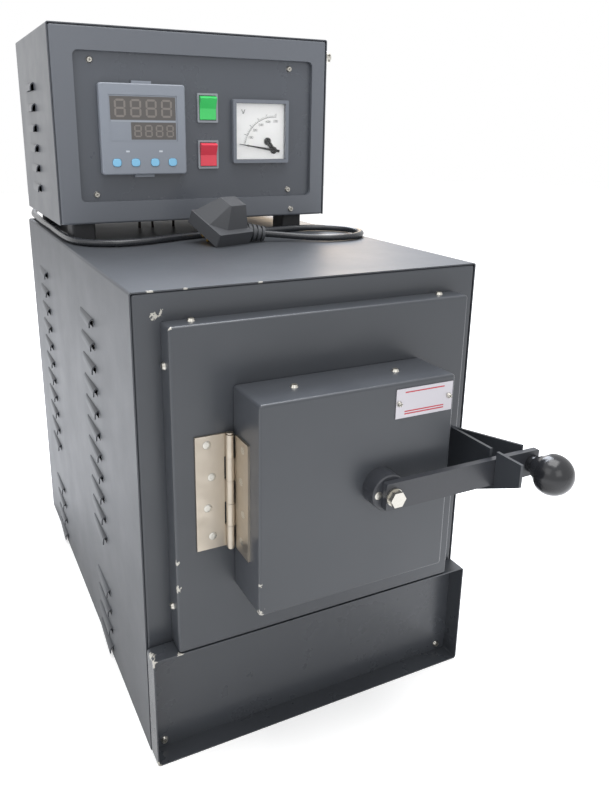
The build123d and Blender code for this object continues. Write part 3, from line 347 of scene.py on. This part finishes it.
# Screen ink on the plate: a flat, plain red
red_ink = finish("red screen ink", "#b3353f", 0.5, 0.3)
margin, rule, rule_inset = 3.0 * MM, 1.1 * MM, 9 * MM
rule_left, rule_right = plate_low.x + rule_inset, plate_high.x - rule_inset
rule_low, rule_high = plate_low.z + margin, plate_high.z - margin
printed("plate_rules", [bar_outline(rule_left, rule_low, rule_right, rule_low + rule),
                        bar_outline(rule_left, rule_high - rule, rule_right, rule_high),
                        bar_outline(rule_left, rule_low + 2 * rule, rule_right, rule_low + 3 * rule)],
        plate_low.y, red_ink, "door")


# Hinge
# A plain steel butt hinge with five knuckles on one pin. One leaf is screwed to the raised pan,
# the other to the door's side.

# Zinc-nickel plate on rolled steel: a warm metal, cloudy where heat and hands have dulled it
stain_mm = 14.0
warm_plate = finish("plated hinge steel", "#b6ada0", 0.36, metallic=1.0)
tree = warm_plate.node_tree
stain = add(tree, "TexNoise", {"Scale": 1 / (stain_mm * MM), "Detail": 4.0},
            {"Vector": (add(tree, "TexCoord"), "Object")})
stained = add(tree, "MapRange", {"From Min": 0.3, "From Max": 0.7, "To Min": 0.28, "To Max": 0.5},
              {"Value": (stain, "Fac")})
tree.links.new(stained.outputs["Result"], tree.nodes["Principled BSDF"].inputs["Roughness"])
coat(warm_plate, "hinge_leaf_body", "hinge_leaf_door", "hinge_pin")


# Screws
# Cross-recessed pan heads of zinc-plated steel, in the casing, the door, the hinge and the
# control box. Each recess's shade is painted: a small dark cross laid on the head.

# Bright zinc plate: a pale metal, clean but a little cloudy
zinc = finish("zinc-plated steel", "#c3c0b8", 0.3, 0.6, relief=0.2, metallic=1.0)
# The recess is steel too, but deep: its shade is painted as a dull dark cross
painted_recess_shade = finish("painted recess shade", "#57544c", 0.7, 0.4)
coat(zinc, "casing_screws", "door_screws", "box_screws", "boss_screws", "hinge_screws_body",
     "hinge_screws_door", "latch_bolt")
recess_reach, recess_arm, recess_lift = 1.9 * MM, 0.36 * MM, 0.05 * MM


def screw_heads(name, apart=12 * MM, near_end=0.3):
    """Each screw of a node as its head's middle and outward axis. Points that lie within a
    screw's length belong together, and the head is at the wider end of the longest side."""
    points = np.array([v.co for v in nodes[name].data.vertices])
    heads = []
    while len(points):
        near = np.linalg.norm(points - points[0], axis=1) < apart
        one, points = points[near], points[~near]
        size = np.ptp(one, axis=0)
        way = int(np.argmax(size))
        middle = (one.max(0) + one.min(0)) / 2
        ends = [one[np.abs(one[:, way] - end) < near_end * size[way]]
                for end in (one[:, way].min(), one[:, way].max())]
        spread = [np.ptp(end, axis=0).sum() - np.ptp(end[:, way]) for end in ends]
        side = int(spread[1] > spread[0])
        middle[way] = (one[:, way].min(), one[:, way].max())[side]
        axis = np.zeros(3)
        axis[way] = 2 * side - 1
        heads.append((middle, axis))
    return heads


def crosses(name, heads, body, turns):
    """Painted recess shade: a cross of twelve corners on each head, turned by its own angle and lifted off
    the face.
    """
    a, r = recess_arm, recess_reach
    shape = np.array([(a, a), (a, r), (-a, r), (-a, a), (-r, a), (-r, -a), (-a, -a), (-a, -r), (a, -r),
                      (a, -a), (r, -a), (r, a)])
    points, faces = [], []
    for i, (middle, axis) in enumerate(heads):
        angle = turns[i % len(turns)]
        u = np.roll(axis, 1)
        v = np.cross(axis, u)
        spin = np.array([[math.cos(angle), math.sin(angle)], [-math.sin(angle), math.cos(angle)]])
        flat = shape @ spin
        points.append(middle + axis * recess_lift + flat[:, :1] * u + flat[:, 1:] * v)
        faces.append(list(range(12 * i, 12 * i + 12)))
    return sheet_mesh(name, np.concatenate(points), faces, painted_recess_shade, body)


# Painted shade of each screw head's cross recess
turns = (0.3, 1.0, 0.6, 1.3, 0.1, 0.8)
crosses("casing_screw_recess_shade", screw_heads("casing_screws"), "furnace", turns)
crosses("door_screw_recess_shade", screw_heads("door_screws"), "door", turns)
crosses("box_screw_recess_shade", [h for h in screw_heads("box_screws") if h[1][0] == 0], "furnace", turns)
crosses("hinge_screw_recess_shade", screw_heads("hinge_screws_body"), "furnace", turns)
crosses("hinge_door_screw_recess_shade", screw_heads("hinge_screws_door"), "door", turns)


# Latch
# A turned boss, a hexagon bolt and a flat steel lever, sprayed black after they were fitted, a
# phenolic ball knob, and a black keeper plate with its brace.

# Sprayed steel: a thin black paint film over the bar's rolled skin, drawn a little coarse
black_spray = finish("black-sprayed steel", "#34363b", 0.36, 1.6, relief=0.3)
coat(black_spray, "latch_bar", "latch_boss")
# The keeper is coated like the casing, a little darker
coat(powder_coat("powder-coated keeper", "#33363b", 0.36), "latch_keeper")
# Phenolic moulding: deep gloss black, with hardly a ripple
coat(finish("phenolic knob", "#232427", 0.2, 3.0, relief=0.03), "latch_knob")


# Control box
# The same folded construction, with a window whose edge is rolled inwards, and a black panel
# behind it. It stands on four moulded feet.

box_coat = powder_coat("powder-coated control box", "#4e5157", 0.34, peel=0.06, smear_swing=0.03)
coat(box_coat, "box_cover", "box_back", "box_base")
coat(powder_coat("powder-coated window frame", "#62666d", 0.34), "box_front")
# Sprayed black under clear print: deeper and glossier than the powder coat round it
coat(powder_coat("sprayed instrument panel", "#50545b", 0.29, peel=0.03), "instrument_panel")
# Moulded rubber: matt black. Melamine: hard and satin. Varnished glass braid: brown and coarse
coat(finish("moulded rubber feet", "#232427", 0.6, 0.8, relief=0.4), "box_feet")
coat(finish("melamine contactor", "#2a2b2d", 0.45, 0.8), "contactor")
coat(finish("varnished glass braid", "#3a2f2b", 0.55, 1.1, relief=0.8), "furnace_leads")


# Temperature controller
# A slate-grey ABS case with a dark smoked window, two rows of unlit seven-segment digits, two
# lamps, and four pale blue keys.

# Moulded ABS: an even satin from the mould's fine spark-eroded grain, drawn a little coarse
slate_abs = finish("slate ABS case", "#878d97", 0.42, 0.6, relief=0.25)
coat(slate_abs, "controller_case", "controller_lens")
# Moulded silicone: softer and paler than the case
pale_blue = finish("pale blue silicone keys", "#86c3e6", 0.42, 0.6, relief=0.2)
coat(pale_blue, "key_1", "key_2", "key_3", "key_4")
lens_low, lens_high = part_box("controller_lens")
bezel_low, bezel_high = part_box("controller_case")
segment_gap = 0.12       # of a stroke, between two bars


def digit(x, z, wide, high, stroke):
    """The seven bars of one digit, each a six-sided bar with pointed ends, about its middle."""
    t, gap = stroke / 2, stroke * segment_gap
    across = np.array([(-1, 0), (-1, -1), (1, -1), (1, 0), (1, 1), (-1, 1)], float)

    def bar(cx, cz, length, upright):
        half = length / 2 - gap
        ends = np.array([half, half - t, half - t, half, half - t, half - t])
        shape = np.stack([across[:, 0] * ends, across[:, 1] * t], axis=1)
        shape = shape[:, ::-1] * (-1, 1) if upright else shape
        return shape + (cx, cz)

    w, h = wide - stroke, high - stroke
    flat = [bar(x, z + k * h / 2, w, False) for k in (-1, 0, 1)]
    tall = [bar(x + s * w / 2, z + k * h / 4, h / 2, True) for s in (-1, 1) for k in (-1, 1)]
    return flat + tall


# Smoked acrylic: its grey partly its own smoke and partly painted reflection. The unlit digits
# show through it a little lighter and warmer
smoked = finish("smoked acrylic window, painted reflection", "#5b5856", 0.15, 7.0, relief=0.01)
unlit = finish("unlit segments", "#7c7672", 0.4, 0.5)


def window(inset, bottom, top, rim=1.5):
    """A window's outline from millimetres in from the lens's left edge and down from its top."""
    return bar_outline(lens_low.x + inset * MM, lens_high.z - bottom * MM, lens_high.x - rim * MM,
                       lens_high.z - top * MM)


def digit_row(first, pitch, down, wide, high, stroke):
    """The bars of four digits in a row, in millimetres from the lens's top left corner."""
    z = lens_high.z - down * MM
    return [bar for i in range(4)
            for bar in digit(lens_low.x + (first + pitch * i) * MM, z, wide * MM, high * MM, stroke * MM)]


printed("controller_windows", [window(1.1, 25.8, 1.4), window(23.4, 46.5, 28.3)], lens_low.y, smoked,
        "furnace")
upper_digits = digit_row(12, 17.4, 13.6, 12.5, 19, 2.2)
lower_digits = digit_row(31, 12.2, 37.4, 8.6, 13, 1.6)
printed("controller_digits", upper_digits + lower_digits, lens_low.y - print_lift, unlit, "furnace")

# Screen ink on the moulding between the two windows
display_rule = finish("grey screen ink", "#b0b5bd", 0.5, 0.3)
rule_z, rule_end, rule_thick = lens_high.z - 27.4 * MM, 2 * MM, 0.6 * MM
rule_outline = bar_outline(lens_low.x + rule_end, rule_z, lens_high.x - rule_end, rule_z + rule_thick)
printed("display_rule", [rule_outline], lens_low.y, display_rule, "furnace")

# Diffusing plastic, unlit: pale and slightly cloudy
lamp_plastic = finish("unlit lamp", "#c9ced6", 0.3, 0.8)
lamp_across, lamp_half, lamp_half_high = (-19.5, 18.0), 2 * MM, 0.9 * MM
lamp_z = lens_low.z - 11 * MM
middle = (bezel_low.x + bezel_high.x) / 2
lamps = [bar_outline(middle + x * MM - lamp_half, lamp_z - lamp_half_high, middle + x * MM + lamp_half,
                     lamp_z + lamp_half_high) for x in lamp_across]
printed("controller_lamps", lamps, bezel_low.y, lamp_plastic, "furnace")


# Rocker switches
# Two rockers in glossy polycarbonate, green for the mains and red for the load, each in a
# moulded frame that snaps into the panel.

# Moulded nylon: satin, its pale grey partly the frame's own and partly painted reflection.
# Polycarbonate: clean colour under a gloss with a slow ripple
switch_frame = finish("nylon switch frame, painted reflection", "#8b9096", 0.35, 0.6, relief=0.2)
green_rocker = finish("green polycarbonate rocker", "#46cf6c", 0.2, 4.0, relief=0.04)
red_rocker = finish("red polycarbonate rocker", "#e8485a", 0.2, 4.0, relief=0.04)
coat(switch_frame, "main_switch", "load_switch")
coat(green_rocker, "main_rocker")
coat(red_rocker, "load_rocker")


# Voltmeter
# A square grey bezel over a white dial with a printed quarter scale, a thick black pointer on
# its pivot, and a clear styrene window.

# Moulded phenolic: dark grey satin. Stoved enamel: even matt white. Lacquered pointer: black
coat(finish("grey phenolic bezel", "#70757e", 0.3, 0.6, relief=0.15), "voltmeter_case")
coat(finish("white enamelled dial", "#fbfbfa", 0.5, 1.5), "voltmeter_dial")
coat(finish("black lacquered pointer", "#0d0d0e", 0.35, 0.8), "voltmeter_needle")
# Clear styrene, thin: the dial is seen and lit straight through it, under a faint gloss
coat(finish("clear styrene window", "#ffffff", 0.03, 9.0, relief=0.005, transmission_weight=1.0, ior=1.49,
            alpha=0.35), "voltmeter_lens")
dial_low, dial_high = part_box("voltmeter_dial")
pivot = (84.8 * MM, 540.5 * MM)
scale_radius, scale_line = 38.0 * MM, 0.5 * MM
first_deg, sweep_deg = 9.0, 85.0
divisions, per_figure = 25, 5
long_tick, short_tick = (4.2, 0.32), (2.4, 0.18)      # length and half width in millimetres
black_ink = finish("black dial ink", "#141414", 0.6, 0.3)


def on_scale(share, radius):
    """A point of the scale: an arc about the pivot that climbs clockwise from the left."""
    angle = np.radians(180 - first_deg - share * sweep_deg)
    return np.stack([pivot[0] + radius * np.cos(angle), pivot[1] + radius * np.sin(angle)], axis=-1)


def tick(share, start, end, half):
    """A radial stroke across the scale."""
    a, b = on_scale(share, start), on_scale(share, end)
    side = np.array([-(b - a)[1], (b - a)[0]]) / np.linalg.norm(b - a) * half
    return np.array([a - side, a + side, b + side, b - side])


share = np.linspace(0, 1, 40)
inner, outer = on_scale(share, scale_radius), on_scale(share[::-1], scale_radius + scale_line)
arc = np.concatenate([inner, outer])[::-1]
strokes = [short_tick if i % per_figure else long_tick for i in range(divisions + 1)]
ticks = [tick(i / divisions, scale_radius, scale_radius + length * MM, half * MM)[::-1]
         for i, (length, half) in enumerate(strokes)]
printed("voltmeter_scale", [arc] + ticks, dial_low.y, black_ink, "furnace")

# The movement's bridge: a black moulding from the pivot up to its far screw, thin at its waist
bridge_to = np.array([-8.3, 10.3]) * MM
bridge_ends = (4.2 * MM, 4.5 * MM)
bridge_open = 0.7        # half the angle by which each end is open towards the other
bridge_high = 0.8 * MM
lean = math.atan2(bridge_to[1], bridge_to[0])
turn_0 = np.linspace(lean + bridge_open, lean + 2 * math.pi - bridge_open, 22)
turn_1 = turn_0 + math.pi
near_end = np.stack([np.cos(turn_0), np.sin(turn_0)], axis=1) * bridge_ends[0]
far_end = np.stack([np.cos(turn_1), np.sin(turn_1)], axis=1) * bridge_ends[1] + bridge_to
bridge = np.concatenate([near_end, far_end]) + pivot
bridge_black = finish("black moulded bridge", "#1b1c1e", 0.15, 3.0, relief=0.03)
printed("voltmeter_bridge", [bridge], dial_low.y, bridge_black, "furnace", lift=bridge_high)


def lettering(name, words, height, material, body):
    """Printed figures: each text is made a mesh, then put with its middle at a point of the face."""
    points, faces, start = [], [], 0
    for text, (x, z), y in words:
        curve = bpy.data.curves.new(name, "FONT")
        curve.body, curve.size = text, height
        curve.align_x, curve.align_y = "CENTER", "CENTER"
        made = bpy.data.objects.new(name, curve)
        scene.collection.objects.link(made)
        mesh = bpy.data.meshes.new_from_object(made)
        flat = np.zeros(3 * len(mesh.vertices))
        mesh.vertices.foreach_get("co", flat)
        flat = flat.reshape(-1, 3)
        points.append(np.stack([x + flat[:, 0], np.full(len(flat), y - print_lift), z + flat[:, 1]], axis=1))
        faces += [[start + i for i in polygon.vertices] for polygon in mesh.polygons]
        start += len(flat)
        bpy.data.objects.remove(made)
    return sheet_mesh(name, np.concatenate(points), faces, material, body)


figure_in, figure_high, unit_in, unit_high = 4.4 * MM, 4.2 * MM, 10 * MM, 8.0 * MM
numbers = [(str(100 * i), tuple(on_scale(i / 5, scale_radius - figure_in)), dial_low.y) for i in range(6)]
lettering("voltmeter_numbers", numbers, figure_high, black_ink, "furnace")
lettering("voltmeter_unit", [("V", (dial_low.x + unit_in, dial_high.z - unit_in), dial_low.y)], unit_high,
          black_ink, "furnace")


# Floor, backdrop and light
# A white studio: a pale floor that keeps a soft shadow, a pale world, broad soft lamps at the
# left, in front, above and behind, and a small warm one at the right rear, as a window's light.

floor_paint = bpy.data.materials.new("studio floor")
floor_paint.use_nodes = True
tree = floor_paint.node_tree
tree.nodes["Principled BSDF"].inputs["Base Color"].default_value = linear("#f2f2f2")
tree.nodes["Principled BSDF"].inputs["Roughness"].default_value = 0.9
ray = add(tree, "LightPath")
# The floor is pale by its own colour, and a little more lifts it to white where it is looked at
looked_at = add(tree, "Math", {"operation": "MULTIPLY", 1: 0.4}, {0: (ray, "Is Camera Ray")})
mirrored = add(tree, "Math", {"operation": "MULTIPLY", 1: 0.1}, {0: (ray, "Is Glossy Ray")})
lift = add(tree, "Math", {"operation": "ADD"}, {0: (looked_at, 0), 1: (mirrored, 0)})
glow = add(tree, "Emission", {"Color": linear("#ffffff")}, {"Strength": (lift, 0)})
both = add(tree, "AddShader", {}, {0: (tree.nodes["Principled BSDF"], 0), 1: (glow, 0)})
tree.links.new(both.outputs[0], tree.nodes["Material Output"].inputs["Surface"])
floor_half = 6.0
floor_mesh = bpy.data.meshes.new("floor")
corners = [(-floor_half, -floor_half, 0), (floor_half, -floor_half, 0), (floor_half, floor_half, 0),
           (-floor_half, floor_half, 0)]
floor_mesh.from_pydata(corners, [], [(0, 1, 2, 3)])
floor_mesh.materials.append(floor_paint)
floor = bpy.data.objects.new("floor", floor_mesh)
scene.collection.objects.link(floor)

world = bpy.data.worlds.new("studio")
scene.world = world
world.use_nodes = True
tree = world.node_tree
ray = add(tree, "LightPath")
shown = add(tree, "Math", {"operation": "MAXIMUM"}, {0: (ray, "Is Camera Ray"), 1: (ray, "Is Glossy Ray")})
shown = add(tree, "Math", {"operation": "MAXIMUM"}, {0: (shown, 0), 1: (ray, "Is Transmission Ray")})
level = add(tree, "MapRange", {"To Min": 0.75, "To Max": 1.0}, {"Value": (shown, 0)})
tree.nodes["Background"].inputs["Color"].default_value = linear("#ffffff")
tree.links.new(level.outputs["Result"], tree.nodes["Background"].inputs["Strength"])


def soft_lamp(name, at, towards, size, power, colour="#ffffff"):
    """A square soft lamp that faces a point."""
    lamp_data = bpy.data.lights.new(name, "AREA")
    lamp_data.energy, lamp_data.size, lamp_data.color = power, size, linear(colour)[:3]
    lamp = bpy.data.objects.new(name, lamp_data)
    lamp.location = at
    lamp.rotation_euler = (Vector(towards) - Vector(at)).to_track_quat("-Z", "Y").to_euler()
    scene.collection.objects.link(lamp)
    return lamp


soft_lamp("left lamp", (-2.2, -0.7, 1.9), (0, 0, 0.35), 1.6, 8)
soft_lamp("front lamp", (-0.4, -2.6, 1.7), (0, 0, 0.4), 1.4, 9)
soft_lamp("top lamp", (0.1, -0.2, 2.4), (0, 0, 0.4), 1.6, 40)
soft_lamp("back lamp", (0.4, 1.2, 1.9), (0, -0.1, 0.44), 1.4, 66, "#eef4ff")
soft_lamp("warm window", (0.95, 1.6, 0.95), (0.1, 0.1, 0.44), 0.6, 3, "#ffdcae")
scene.view_settings.view_transform = "Standard"
